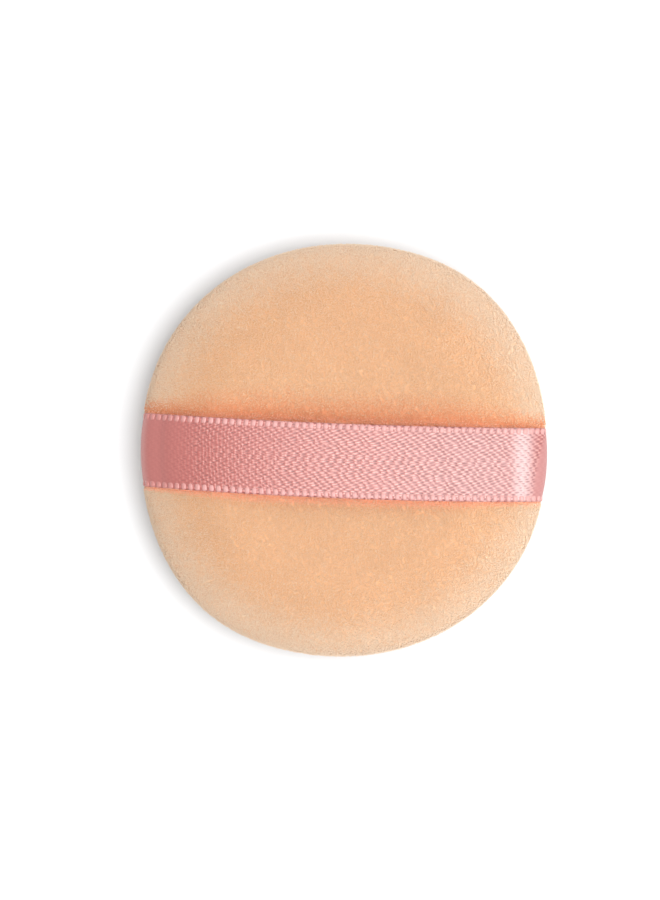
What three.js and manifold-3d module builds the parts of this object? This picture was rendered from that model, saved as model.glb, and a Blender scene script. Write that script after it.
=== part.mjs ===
// A round powder puff. Two velour covers are seamed at the rim, turned right side out round a foam core,
// and closed by hand. A satin ribbon lies across the back for the fingers, and its two tails are caught
// between the turned-in edges of the covers.
// Millimetres, +Z up. The puff lies on the side that powders, with the ribbon along X on top.
import * as THREE from "three";
import { mergeVertices } from "three/addons/utils/BufferGeometryUtils.js";
import Module from "manifold-3d";

// The pad
const padRadius = 27.9; // of the rim, where nothing swells it or draws it in
const backCrown = 4.6; // rise of the ribbon side over the seam
const frontCrown = 4.5; // swell of the powdering side below the seam, if nothing pressed it
const restFlat = 0.5; // the table presses that swell flat by this much
const crownPower = 5; // 2 would give an ellipse, and more gives a flatter face with a rounder shoulder
const coverThickness = 1.2; // velour, its backing and its pile together
const softGap = 0.2; // between soft pieces that touch

// How far the rim leaves a true circle
const rimSwell = 0.68; // fuller at both ends of one diagonal
const swellTurn = THREE.MathUtils.degToRad(52);
const swellPower = 12; // more makes the fuller stretches shorter
const sidePull = 0.42; // drawn in by the ribbon at its two ends
const pullReach = 9.5; // along the rim, from the ribbon's middle to where the pull fades

// The rim seam
const seamGap = 0.2; // between the covers, where nothing lies between them
const lipRadius = 0.9; // of the fold where a cover turns in
const seamAllowance = 3.6; // from the inside of the cover's wall to the turned-in edge
const allowanceThickness = 0.6; // the pile is crushed flat there
const turningGap = 28; // length of rim left open to turn the covers, and closed by hand
const turningMiddle = THREE.MathUtils.degToRad(87.5);

// The sewing thread
const threadDiameter = 0.25;
const threadGap = 0.1; // round a thread
const stitchInset = 1; // from the inside of the cover's wall to the stitch line
const stitchLength = 3.5;
const hookReach = 0.2; // half the length of the loop that goes down a needle hole
const hookSpread = 0.23; // how far the strands of a loop lie either side of the stitch line
const tailShare = 0.3; // of a stitch, for each cut end of thread

// The ribbon
const ribbonWidth = 10;
const ribbonThickness = 0.3;
const leftOffset = 0.1; // of the ribbon's left end from the X axis
const rightOffset = -2;
const ribbonBow = 0.5; // sideways sag of its middle
const tailSetback = 0.5; // from the turned-in edge of the covers to the tail's cut end
const fingerGap = 1.8; // under the middle of the ribbon
const leftBendInset = 3.2; // from the rim to the ribbon's soft bend over the pad's left shoulder
const leftBendRise = 3.9; // of that bend over the seam
const rightBendInset = 2.1; // and the same of its sharp bend at the right
const rightBendRise = 3.5;
const bendSlope = THREE.MathUtils.degToRad(37); // of the ribbon as it leaves either bend
const risingShare = 0.7; // these four set how far the ribbon keeps straight beside each bend
const tuckingShare = 0.4;
const leavingShare = 1.1;
const archingShare = 0.5;

// Fineness of the facets
const coverSegments = 38;
const crownSteps = 6;
const liningSteps = 4;
const lipSteps = 2;
const threadSides = 5;
const bendSteps = 6;
const ribbonStrips = 6;

// Worked out from the sizes above
const seamHeight = frontCrown - restFlat;
const innerRadius = padRadius - coverThickness;
const turnedInRadius = innerRadius - seamAllowance;
const lipTop = seamGap / 2 + lipRadius;
const allowanceTop = seamGap / 2 + allowanceThickness;
const threadRadius = threadDiameter / 2;
const threadHeight = allowanceTop + threadGap + threadRadius;
const stitchRadius = innerRadius - stitchInset;
const stitchCount = Math.round((2 * Math.PI * stitchRadius) / stitchLength);
const stitchTurn = (2 * Math.PI) / stitchCount;
const threadTail = stitchTurn * stitchRadius * tailShare;
const closingCount = Math.round(turningGap / stitchLength) - 1;
const machineCount = stitchCount - closingCount;
const seamStart = turningMiddle + ((closingCount + 1) / 2) * stitchTurn;

const velour = { color: 0xf3c39b, roughness: 0.95, metalness: 0 };
const foam = { color: 0xf3e6c8, roughness: 0.9, metalness: 0 };
const satin = { color: 0xe79a96, roughness: 0.35, metalness: 0 };
const cotton = { color: 0xf0cdb0, roughness: 0.8, metalness: 0 };

const wasm = await Module();
wasm.setup();

function toSolid(geometry) {
  const bare = new THREE.BufferGeometry();
  bare.setAttribute("position", geometry.getAttribute("position"));
  bare.setIndex(geometry.index);
  const merged = mergeVertices(bare);
  return new wasm.Manifold(
    new wasm.Mesh({
      numProp: 3,
      vertProperties: merged.getAttribute("position").array,
      triVerts: new Uint32Array(merged.index.array),
    }),
  );
}

function toGeometry(solid) {
  const { numProp, vertProperties, triVerts } = solid.getMesh();
  const geometry = new THREE.BufferGeometry();
  geometry.setAttribute("position", new THREE.BufferAttribute(vertProperties, numProp));
  geometry.setIndex(new THREE.BufferAttribute(triVerts, 1));
  return geometry;
}

// Calls move(point) on every vertex, which changes the point in place.
function moveVertices(geometry, move) {
  const position = geometry.getAttribute("position");
  const point = new THREE.Vector3();
  for (let i = 0; i < position.count; i++) {
    point.fromBufferAttribute(position, i);
    move(point);
    position.setXYZ(i, point.x, point.y, point.z);
  }
  return geometry;
}

// Each piece is made for a round pad, and this then draws it to the real outline. Points move most at the
// rim and not at all at the centre, so what fitted before still fits.
function drawToOutline(point) {
  const turn = Math.atan2(point.y, point.x);
  const swell = rimSwell * Math.cos(turn - swellTurn) ** swellPower;
  const pull = sidePull * Math.exp(-(((padRadius * Math.sin(turn)) / pullReach) ** 2));
  const rimShare = (Math.hypot(point.x, point.y) / padRadius) ** 2;
  const scale = 1 + ((swell - pull) / padRadius) * rimShare;
  point.x *= scale;
  point.y *= scale;
}

// Half of a pad's section, from its axis out to its widest radius, as (radius, height over the seam). It
// swells from base up to crown, and what would rise over flat is pressed flat.
function crownCurve(radius, base, crown, flat, steps) {
  const rise = crown - base;
  const firstTurn = Math.acos(Math.min(1, (flat - base) / rise));
  const points = firstTurn > 0 ? [new THREE.Vector2(0, flat)] : [];
  for (let i = 0; i <= steps; i++) {
    const turn = THREE.MathUtils.lerp(firstTurn, Math.PI / 2, i / steps);
    const widthShare = Math.sin(turn) ** (2 / crownPower);
    points.push(new THREE.Vector2(radius * widthShare, base + rise * Math.cos(turn)));
  }
  return points;
}

// Turns a profile of (radius, height over the seam) about the Z axis. side is 1 for a profile that lies
// over the seam and -1 for one that is mirrored below it.
function revolve(profile, side) {
  const points = profile.map((point) => new THREE.Vector2(point.x, seamHeight + side * point.y));
  if (side > 0) points.reverse();
  return new THREE.LatheGeometry(points, coverSegments).rotateX(Math.PI / 2);
}

// A velour cover: a crowned cap that folds in at the seam and runs back inside as the seam allowance.
function coverGeometry(side, crown, flat) {
  const outside = crownCurve(padRadius, lipTop, crown, flat, crownSteps);
  const lip = [];
  for (let i = 1; i <= lipSteps; i++) {
    const turn = ((Math.PI / 2) * i) / lipSteps;
    lip.push(
      new THREE.Vector2(
        padRadius - lipRadius + lipRadius * Math.cos(turn),
        lipTop - lipRadius * Math.sin(turn),
      ),
    );
  }
  const turnedIn = [
    new THREE.Vector2(turnedInRadius, seamGap / 2),
    new THREE.Vector2(turnedInRadius, allowanceTop),
  ];
  const inside = crownCurve(
    innerRadius,
    allowanceTop,
    crown - coverThickness,
    flat - coverThickness,
    liningSteps,
  );
  return revolve([...outside, ...lip, ...turnedIn, ...inside.reverse()], side);
}

// The foam disc. A groove round its rim holds the turned-in edges and the threads on them.
function foamDisc() {
  const lining = coverThickness + softGap;
  const radius = innerRadius - softGap;
  const half = (crown, flat) =>
    crownCurve(radius, allowanceTop, crown - lining, flat - lining, liningSteps);
  const above = half(backCrown, backCrown);
  const below = half(frontCrown, seamHeight).map((point) => new THREE.Vector2(point.x, -point.y));
  const disc = toSolid(revolve([...above, ...below.reverse()], 1));
  const grooveTop = threadHeight + threadRadius + softGap;
  const groove = [
    new THREE.Vector2(turnedInRadius - softGap, grooveTop),
    new THREE.Vector2(padRadius, grooveTop),
    new THREE.Vector2(padRadius, -grooveTop),
    new THREE.Vector2(turnedInRadius - softGap, -grooveTop),
    new THREE.Vector2(turnedInRadius - softGap, grooveTop),
  ];
  return disc.subtract(toSolid(revolve(groove, 1)));
}

// Middle line of half the ribbon, in the X-Z plane, from its tail in the seam to the middle of the arch.
// Where it turns up round the back cover's fold it beds into the pile, flush with the rim.
function ribbonHalf(bendInset, bendRise) {
  const foldRadius = lipRadius;
  const outerX = padRadius - ribbonThickness / 2;
  const tail = new THREE.Vector2(turnedInRadius + tailSetback, seamHeight);
  const foldStart = new THREE.Vector2(outerX - foldRadius, seamHeight);
  const foldCorner = new THREE.Vector2(outerX, seamHeight);
  const foldEnd = new THREE.Vector2(outerX, seamHeight + foldRadius);
  const bend = new THREE.Vector2(padRadius - bendInset, seamHeight + bendRise);
  const middle = new THREE.Vector2(0, seamHeight + backCrown + fingerGap + ribbonThickness / 2);
  const climb = new THREE.Vector2(-Math.cos(bendSlope), Math.sin(bendSlope));
  const rising = foldEnd.clone().lerp(new THREE.Vector2(foldEnd.x, bend.y), risingShare);
  const tucking = bend.clone().addScaledVector(climb, -bendInset * tuckingShare);
  const leaving = bend.clone().addScaledVector(climb, bendInset * leavingShare);
  const arching = new THREE.Vector2(bend.x * archingShare, middle.y);
  const path = new THREE.CurvePath();
  path.add(new THREE.LineCurve(tail, foldStart));
  path.add(new THREE.QuadraticBezierCurve(foldStart, foldCorner, foldEnd));
  path.add(new THREE.CubicBezierCurve(foldEnd, rising, tucking, bend));
  path.add(new THREE.CubicBezierCurve(bend, leaving, arching, middle));
  return path.getPoints(bendSteps);
}

// The ribbon with this much added to it all round. It is pushed out of a side view of its arch, and then
// laid on the pad: slightly slanted, bowed sideways, and with its ends bent round the curve of the rim.
function ribbonGeometry(margin) {
  const right = ribbonHalf(rightBendInset, rightBendRise);
  const left = ribbonHalf(leftBendInset, leftBendRise).map((point) => new THREE.Vector2(-point.x, point.y));
  const middleLine = [...right, ...left.reverse().slice(1)];
  const reach = ribbonThickness / 2 + margin;
  const upper = [];
  const lower = [];
  middleLine.forEach((point, i) => {
    const before = middleLine[Math.max(i - 1, 0)];
    const after = middleLine[Math.min(i + 1, middleLine.length - 1)];
    const along = after.clone().sub(before).normalize();
    const out = new THREE.Vector2(along.y, -along.x).multiplyScalar(reach);
    upper.push(point.clone().add(out));
    lower.push(point.clone().sub(out));
  });
  const width = ribbonWidth + 2 * margin;
  const section = new THREE.Shape([...upper, ...lower.reverse()]);
  const options = { depth: width, steps: ribbonStrips, bevelEnabled: false };
  const geometry = new THREE.ExtrudeGeometry(section, options);
  geometry.rotateX(Math.PI / 2);
  geometry.translate(0, width / 2, 0);
  return moveVertices(geometry, (point) => {
    const rightShare = (point.x / padRadius + 1) / 2;
    const sag = ribbonBow * (1 - (point.x / padRadius) ** 2);
    point.y += THREE.MathUtils.lerp(leftOffset, rightOffset, rightShare) - sag;
    point.x *= Math.sqrt(1 - (point.y / padRadius) ** 2);
  });
}

// A point beside a needle hole: along and across the stitch line from the hole, and over the seam.
function besideHole(hole, along, across, height) {
  const turn = seamStart + hole * stitchTurn + along / stitchRadius;
  const radius = stitchRadius + across;
  return new THREE.Vector3(radius * Math.cos(turn), radius * Math.sin(turn), seamHeight + height);
}

// The needle holes all round the seam, as plugs that are cut out of whatever is sewn.
function needlePlugs() {
  const length = 2 * (hookReach + threadRadius + threadGap);
  const width = 2 * (hookSpread + threadRadius + threadGap);
  const height = 2 * (allowanceTop + threadGap);
  let plugs = null;
  for (let hole = 0; hole < stitchCount; hole++) {
    const box = new THREE.BoxGeometry(width, length, height);
    const middle = besideHole(hole, 0, 0, 0);
    box.rotateZ(seamStart + hole * stitchTurn);
    box.translate(middle.x, middle.y, middle.z);
    plugs = plugs ? plugs.add(toSolid(box)) : toSolid(box);
  }
  return plugs;
}

// A path of straight runs, which puts a cross-section of what is extruded along it at each corner.
class CorneredPath extends THREE.Curve {
  constructor(corners) {
    super();
    this.corners = corners;
  }

  getPointAt(share) {
    return this.corners[Math.round(share * (this.corners.length - 1))].clone();
  }

  getTangentAt(share) {
    const here = Math.round(share * (this.corners.length - 1));
    const before = this.corners[Math.max(here - 1, 0)];
    const after = this.corners[Math.min(here + 1, this.corners.length - 1)];
    const arriving = this.corners[here].clone().sub(before).normalize();
    const leaving = after.clone().sub(this.corners[here]).normalize();
    return arriving.add(leaving).normalize();
  }
}

function threadGeometry(corners) {
  const section = new THREE.Shape();
  for (let i = 0; i < threadSides; i++) {
    const turn = (2 * Math.PI * i) / threadSides;
    const x = threadRadius * Math.cos(turn);
    const y = threadRadius * Math.sin(turn);
    if (i === 0) section.moveTo(x, y);
    else section.lineTo(x, y);
  }
  const extrudePath = new CorneredPath(corners);
  return new THREE.ExtrudeGeometry(section, { steps: corners.length - 1, extrudePath });
}

// One thread of the machine seam, which is a lockstitch: in each needle hole the upper and the lower
// thread hook round each other halfway down. side is 1 for the needle's thread, which lies on the back
// cover's allowance, and -1 for the bobbin's, which lies on the front cover's.
function machineThread(side) {
  const lastHole = machineCount - 1;
  const outer = side * hookSpread;
  const lying = side * threadHeight;
  const corners = [besideHole(0, -hookReach - threadTail, outer, lying)];
  for (let hole = 0; hole < machineCount; hole++) {
    corners.push(
      besideHole(hole, -hookReach, outer, lying),
      besideHole(hole, -hookReach, outer, 0),
      besideHole(hole, 0, 0, -side * hookSpread),
      besideHole(hole, hookReach, -outer, 0),
      besideHole(hole, hookReach, -outer, lying),
    );
  }
  corners.push(besideHole(lastHole, hookReach + threadTail, -outer, lying));
  return threadGeometry(corners);
}

// The hand seam that closes the turning gap, a ladder stitch: it crosses from one turned-in edge to the
// other at each hole, and runs along inside the fold in between.
function closingThread() {
  const lastHole = stitchCount - 1;
  let height = threadHeight;
  const corners = [besideHole(machineCount, -threadTail, 0, height)];
  for (let hole = machineCount; hole <= lastHole; hole++) {
    corners.push(besideHole(hole, 0, 0, height), besideHole(hole, 0, 0, -height));
    height = -height;
  }
  corners.push(besideHole(lastHole, threadTail, 0, height));
  return threadGeometry(corners);
}

const puff = new THREE.Group();

function addPiece(name, solid, finish) {
  const geometry = moveVertices(toGeometry(solid), drawToOutline);
  const mesh = new THREE.Mesh(geometry, new THREE.MeshStandardMaterial(finish));
  mesh.name = name;
  puff.add(mesh);
}

const holes = needlePlugs();
const ribbonRoom = toSolid(ribbonGeometry(softGap));
const backCover = toSolid(coverGeometry(1, backCrown, backCrown));
const frontCover = toSolid(coverGeometry(-1, frontCrown, seamHeight));
const ribbon = toSolid(ribbonGeometry(0));

addPiece("foam_core", foamDisc(), foam);
addPiece("back_cover", backCover.subtract(ribbonRoom).subtract(holes), velour);
addPiece("front_cover", frontCover.subtract(ribbonRoom).subtract(holes), velour);
addPiece("ribbon_strap", ribbon.subtract(holes), satin);
addPiece("needle_thread", toSolid(machineThread(1)), cotton);
addPiece("bobbin_thread", toSolid(machineThread(-1)), cotton);
addPiece("closing_thread", toSolid(closingThread()), cotton);

export default puff;
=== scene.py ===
# %% [markdown]
# # A powder puff in velour and satin
#
# The real thing is a small sewn cushion. Two velour covers are seamed together at the rim, turned right
# side out round a disc of foam, and a satin ribbon lies over the back for the fingers to slip under.
# This script dresses a fixed model of it. The model gives every piece its place and size, and the script
# gives each one its cloth, pile, weave and thread. Everything is in metres.

# %% Load the fixed model
import math

import bpy
import numpy as np
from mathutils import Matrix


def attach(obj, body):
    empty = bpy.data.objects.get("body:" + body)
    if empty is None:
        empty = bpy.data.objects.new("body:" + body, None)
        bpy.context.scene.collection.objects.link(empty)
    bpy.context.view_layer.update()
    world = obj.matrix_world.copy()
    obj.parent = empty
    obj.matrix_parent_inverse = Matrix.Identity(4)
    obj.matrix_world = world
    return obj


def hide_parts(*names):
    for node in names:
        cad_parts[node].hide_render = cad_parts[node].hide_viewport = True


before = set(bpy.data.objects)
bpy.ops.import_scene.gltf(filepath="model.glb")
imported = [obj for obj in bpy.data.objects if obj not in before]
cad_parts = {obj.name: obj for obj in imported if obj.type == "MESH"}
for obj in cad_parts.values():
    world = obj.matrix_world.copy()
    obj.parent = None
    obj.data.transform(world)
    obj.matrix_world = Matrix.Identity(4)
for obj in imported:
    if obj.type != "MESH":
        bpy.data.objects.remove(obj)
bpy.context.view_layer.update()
MM = 0.001


def in_mm(length):
    return round(float(length) / MM, 2)


# %% [markdown]
# ## The sizes that everything follows
#
# A maker would cut the cloth from a handful of sizes, and the script starts from the same ones: the pad's
# radius, its two crowns, the seam and the ribbon. Whatever is worked out from them later keeps fitting
# when one of them changes.

# %% Driving sizes
PAD_RADIUS = 27.9 * MM
BACK_CROWN = 4.6 * MM  # over the seam, on the ribbon's side
FRONT_CROWN = 4.5 * MM  # below the seam, if the table didn't press it flat
REST_FLAT = 0.5 * MM
CROWN_POWER = 5
COVER_THICKNESS = 1.2 * MM
PILE_TIPS = 0.28 * MM  # how far the tips of the pile stand over its dense mass
SOFT_GAP = 0.2 * MM

SEAM_GAP = 0.2 * MM
LIP_RADIUS = 0.9 * MM
SEAM_ALLOWANCE = 3.6 * MM
ALLOWANCE_THICKNESS = 0.6 * MM

SEAM_HEIGHT = FRONT_CROWN - REST_FLAT
LIP_TOP = SEAM_GAP / 2 + LIP_RADIUS
ALLOWANCE_TOP = SEAM_GAP / 2 + ALLOWANCE_THICKNESS
INNER_RADIUS = PAD_RADIUS - COVER_THICKNESS
TURNED_IN_RADIUS = INNER_RADIUS - SEAM_ALLOWANCE
print("pad", in_mm(2 * PAD_RADIUS), "mm across, seam", in_mm(SEAM_HEIGHT), "mm up")

# %% [markdown]
# ## A rim that isn't a true circle
#
# Hand-cut cloth and a tugging ribbon leave the rim a little out of round. Rather than drawing that outline
# point by point, every piece is made round and one small function then moves it: two fuller stretches on
# a diagonal, and a dent at each end of the ribbon. Points near the middle hardly move, so what fitted
# before still fits afterwards.

# %% Draw a round piece to the real outline
RIM_SWELL = 0.68 * MM
SWELL_TURN = math.radians(52)
SWELL_POWER = 12
SIDE_PULL = 0.42 * MM
PULL_REACH = 9.5 * MM


def draw_to_outline(points):
    points = np.array(points, float)
    x, y = points[:, 0], points[:, 1]
    turn = np.arctan2(y, x)
    swell = RIM_SWELL * np.cos(turn - SWELL_TURN) ** SWELL_POWER
    pull = SIDE_PULL * np.exp(-((PAD_RADIUS * np.sin(turn) / PULL_REACH) ** 2))
    rim_share = (x**2 + y**2) / PAD_RADIUS**2
    points[:, :2] *= (1 + (swell - pull) / PAD_RADIUS * rim_share)[:, None]
    return points


rim = draw_to_outline([(PAD_RADIUS, 0, 0), (0, PAD_RADIUS, 0)])
print("half widths along and across the ribbon in mm:", in_mm(rim[0, 0]), in_mm(rim[1, 1]))

# %% [markdown]
# ## Small helpers
#
# Two things happen again and again: turning arrays of points and faces into an object, and wiring nodes.
# Node trees for cloth are mostly sums, and sums are easiest to read as sums. So what a node gives out is
# wrapped as a Signal, and an ordinary plus or times sign between two signals adds the Math node for it.


# %% Helpers for objects
LEAST_LENGTH = 1e-9  # keeps a division away from zero


def unit(rows):
    """Each row's direction."""
    return rows / np.maximum(np.linalg.norm(rows, axis=1), LEAST_LENGTH)[:, None]


def add_object(name, data):
    made = bpy.data.objects.new(name, data)
    bpy.context.scene.collection.objects.link(made)
    return made


def new_object(name, points, faces=(), edges=()):
    mesh = bpy.data.meshes.new(name)
    mesh.from_pydata(np.asarray(points).tolist(), [list(e) for e in edges], [list(f) for f in faces])
    if len(faces):
        mesh.shade_smooth()
    return add_object(name, mesh)


def as_it_looks(source):
    """An object's mesh after its modifiers."""
    return bpy.data.meshes.new_from_object(source.evaluated_get(bpy.context.evaluated_depsgraph_get()))


def walls(loops):
    """Quads between each loop of points and the next."""
    pairs = zip(loops, loops[1:])
    return [np.column_stack([b, np.roll(b, -1), np.roll(a, -1), a]) for a, b in pairs]


print("helpers for objects ready")


# %% Signals and nodes
class Signal:
    """What a node gives out. The signs + - * / and ** between signals add Math nodes to their tree."""

    def __init__(self, tree, socket):
        self.tree, self.socket = tree, socket

    def __add__(self, other):
        return maths("ADD", self, other)

    def __sub__(self, other):
        return maths("SUBTRACT", self, other)

    def __rsub__(self, other):
        return maths("SUBTRACT", other, self)

    def __mul__(self, other):
        return maths("MULTIPLY", self, other)

    def __truediv__(self, other):
        return maths("DIVIDE", self, other)

    def __rtruediv__(self, other):
        return maths("DIVIDE", other, self)

    def __pow__(self, other):
        return maths("POWER", self, other)

    def __abs__(self):
        return maths("ABSOLUTE", self)

    __radd__, __rmul__ = __add__, __mul__


def set_input(tree, socket, value):
    if isinstance(value, Signal):
        tree.links.new(value.socket, socket)
    else:
        socket.default_value = value


def add_node(tree, kind, settings=(), **inputs):
    """One node. settings are its properties, and inputs are values or signals by the socket's name."""
    node = tree.nodes.new(kind)
    for key, value in dict(settings).items():
        setattr(node, key, value)
    for key, value in inputs.items():
        set_input(tree, node.inputs[key.replace("_", " ")], value)
    return node


def signal(tree, kind, settings=(), out=0, **inputs):
    """One node, of which only one output is wanted."""
    return Signal(tree, add_node(tree, kind, settings, **inputs).outputs[out])


def worked_out(kind, operation, values, inputs):
    tree = next(value.tree for value in values if isinstance(value, Signal))
    node = add_node(tree, kind, {"operation": operation}, **inputs)
    for socket, value in zip(node.inputs, values):
        set_input(tree, socket, value)
    return node


def maths(operation, *values):
    node = worked_out("ShaderNodeMath", operation, values, {})
    return Signal(node.id_data, node.outputs[0])


def vectors(operation, *values, **inputs):
    node = worked_out("ShaderNodeVectorMath", operation, values, inputs)
    return Signal(node.id_data, node.outputs[0])


print("signals ready")


# %% Sums that come up often
def larger(a, b):
    return maths("MAXIMUM", a, b)


def smaller(a, b):
    return maths("MINIMUM", a, b)


def scaled(vector, size):
    return vectors("SCALE", vector, Scale=size)


def split(place):
    """The X, Y and Z of a place."""
    node = add_node(place.tree, "ShaderNodeSeparateXYZ", Vector=place)
    return [Signal(place.tree, output) for output in node.outputs]


def away_from_axis(place):
    flat_place = vectors("MULTIPLY", place, (1, 1, 0))
    return signal(place.tree, "ShaderNodeVectorMath", {"operation": "LENGTH"}, "Value", Vector=flat_place)


def eased(value, start, end, at_start, at_end):
    """Goes smoothly from at_start to at_end while value goes from start to end."""
    node = add_node(value.tree, "ShaderNodeMapRange", {"interpolation_type": "SMOOTHSTEP"}, Value=value)
    for name, setting in (("From Min", start), ("From Max", end), ("To Min", at_start), ("To Max", at_end)):
        set_input(value.tree, node.inputs[name], setting)
    return Signal(value.tree, node.outputs[0])


def noise(place, size, detail=1.0, out=0):
    """Soft random blots of a size."""
    return signal(place.tree, "ShaderNodeTexNoise", out=out, Vector=place, Scale=1 / size, Detail=detail)


def mixed(share, first, second):
    """A mix of two colours."""
    node = add_node(share.tree, "ShaderNodeMixRGB", Fac=share)
    for name, colour in (("Color1", first), ("Color2", second)):
        set_input(share.tree, node.inputs[name], colour if isinstance(colour, Signal) else (*colour, 1))
    return Signal(share.tree, node.outputs[0])


print("sums ready")


# %% Helpers for materials
def new_material(name, colour, roughness, **sockets):
    """A Principled material. Returns it with its tree and its shader, for a pattern to be added."""
    material = bpy.data.materials.new(name)
    material.use_nodes = True
    shader = material.node_tree.nodes["Principled BSDF"]
    shader.inputs["Base Color"].default_value = (*colour, 1)
    shader.inputs["Roughness"].default_value = roughness
    for key, value in sockets.items():
        shader.inputs[key.replace("_", " ")].default_value = value
    return material, material.node_tree, shader


def object_place(tree):
    return signal(tree, "ShaderNodeTexCoord", out="Object")


def add_pattern(shader, colour, height, strength, depth):
    """Colours a shader, and raises its surface by a pattern of heights."""
    tree = colour.tree
    set_input(tree, shader.inputs["Base Color"], colour)
    bump = signal(tree, "ShaderNodeBump", Strength=strength, Distance=depth, Height=height)
    set_input(tree, shader.inputs["Normal"], bump)


print("material helpers ready")


# %% Helpers for Geometry Nodes
def new_tree(name, sizes, **others):
    """A tree with named inputs. Returns it, and what it is given as signals by name."""
    tree = bpy.data.node_groups.new(name, "GeometryNodeTree")
    for title, kind in {"Geometry": "Geometry", **dict.fromkeys(sizes, "Float"), **others}.items():
        tree.interface.new_socket(title.replace("_", " "), in_out="INPUT", socket_type="NodeSocket" + kind)
    tree.interface.new_socket("Geometry", in_out="OUTPUT", socket_type="NodeSocketGeometry")
    return tree, {socket.name: Signal(tree, socket) for socket in tree.nodes.new("NodeGroupInput").outputs}


def stored(tree, name, kind):
    """A value that was stored on the points under a name."""
    return signal(tree, "GeometryNodeInputNamedAttribute", {"data_type": kind}, Name=name)


def by_lot(tree, least, most, seed):
    """A number between two others, drawn for every point."""
    node = add_node(tree, "FunctionNodeRandomValue", {"data_type": "FLOAT"}, Seed=seed)
    node.inputs[2].default_value, node.inputs[3].default_value = least, most
    return Signal(tree, node.outputs[1])


def copies(points, shape, rotation, width, length, height):
    """A copy of a shape on every point."""
    tree = points.tree
    size = signal(tree, "ShaderNodeCombineXYZ", X=width, Y=length, Z=height)
    inputs = {"Points": points, "Instance": shape, "Rotation": rotation, "Scale": size}
    return signal(tree, "GeometryNodeInstanceOnPoints", **inputs)


def end_tree(shape, material, smooth=True, **marked):
    """Makes every copy real and gives it its material. What carries a mark gets that mark's material."""
    tree = shape.tree
    shape = signal(tree, "GeometryNodeRealizeInstances", Geometry=shape)
    if smooth:
        shape = signal(tree, "GeometryNodeSetShadeSmooth", Geometry=shape)
    shape = signal(tree, "GeometryNodeSetMaterial", Geometry=shape, Material=material)
    for mark, other in marked.items():
        has_mark = stored(tree, mark, "BOOLEAN")
        shape = signal(tree, "GeometryNodeSetMaterial", Geometry=shape, Selection=has_mark, Material=other)
    set_input(tree, tree.nodes.new("NodeGroupOutput").inputs["Geometry"], shape)
    return tree


def grown(source, name, tree, **inputs):
    """Runs a tree on an object and keeps the result as a plain mesh object of its own."""
    modifier = source.modifiers.new("Grow", "NODES")
    modifier.node_group = tree
    identifiers = {s.name: s.identifier for s in tree.interface.items_tree if s.in_out == "INPUT"}
    for title, value in inputs.items():
        modifier[identifiers[title.replace("_", " ")]] = value
    mesh = as_it_looks(source)
    source.modifiers.remove(modifier)
    mesh.name = name
    print(name, "has", sum(len(p.vertices) - 2 for p in mesh.polygons), "triangles")
    return add_object(name, mesh)


print("Geometry Nodes helpers ready")

# %% [markdown]
# ## The section of the pad
#
# Seen from the side, each half of the pad swells from the seam to a broad crown, with a full shoulder. The
# curve below is a superellipse: a power of 2 would give a lens, and 5 gives the fuller shoulder of cloth
# that is stretched over foam. The powdering side is pressed flat by the table.
#
# The tips of the pile take up the outer 0.28 mm, so the surface under them runs that much further in. At
# the seam it turns in round a small fold.

# %% The pad's section as a curve
CROWN_STEPS = 90
LIP_STEPS = 12
CLOTH_LIP_WIDTH = 0.6 * MM  # the cloth's own fold at the seam
SMOOTHING_LOSS = 0.18 * MM  # how far subdivision draws the widest part in


def crown_curve(radius, base, crown, flat):
    """(radius, height over the seam) from the axis out to the widest point."""
    rise = crown - base
    first = math.acos(min(1, (flat - base) / rise))
    turn = np.linspace(first, math.pi / 2, CROWN_STEPS)
    points = np.column_stack([radius * np.sin(turn) ** (2 / CROWN_POWER), base + rise * np.cos(turn)])
    return np.vstack([[0, flat], points]) if first > 0 else points


def cloth_curve(crown, flat):
    """The face of the cloth under the pile, from the axis to the bottom of the fold."""
    radius = PAD_RADIUS - PILE_TIPS + SMOOTHING_LOSS
    crown_part = crown_curve(radius, LIP_TOP, crown - PILE_TIPS, flat - PILE_TIPS)
    turn = np.linspace(0, math.pi / 2, LIP_STEPS)[1:]
    lip = [radius - CLOTH_LIP_WIDTH * (1 - np.cos(turn)), LIP_TOP - LIP_RADIUS * np.sin(turn)]
    return np.vstack([crown_part, np.column_stack(lip)])


def lining_curve(crown, flat):
    """The inside of a cover, from the axis to the root of its seam allowance."""
    return crown_curve(INNER_RADIUS, ALLOWANCE_TOP, crown - COVER_THICKNESS, flat - COVER_THICKNESS)


print("back cloth rises", in_mm(cloth_curve(BACK_CROWN, BACK_CROWN)[0, 1]), "mm over the seam")

# %% [markdown]
# ## Even quads over a disc
#
# A disc made of rings has needle-thin faces at its middle, which cloth simulation and subdivision both
# dislike. Bending a square grid until its edge is a circle gives faces of nearly equal size and no pole.
# The distance from the middle then says how far along the section's curve a point lies.

# %% A square grid bent into a disc
GRID_STEPS = 48


def disc_grid():
    line = np.linspace(-1, 1, GRID_STEPS + 1)
    u, v = (a.ravel() for a in np.meshgrid(line, line, indexing="ij"))
    return np.column_stack([u * np.sqrt(1 - v**2 / 2), v * np.sqrt(1 - u**2 / 2)])


DISC = disc_grid()
NUMBERS = np.arange(len(DISC)).reshape(GRID_STEPS + 1, GRID_STEPS + 1)


def quads_of(numbers):
    """The quads of a grid of numbered points."""
    corners = [numbers[:-1, :-1], numbers[1:, :-1], numbers[1:, 1:], numbers[:-1, 1:]]
    return np.stack(corners, axis=-1).reshape(-1, 4)


QUADS = quads_of(NUMBERS)
RIM = np.concatenate([NUMBERS[:-1, 0], NUMBERS[-1, :-1], NUMBERS[:0:-1, -1], NUMBERS[0, :0:-1]])


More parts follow.
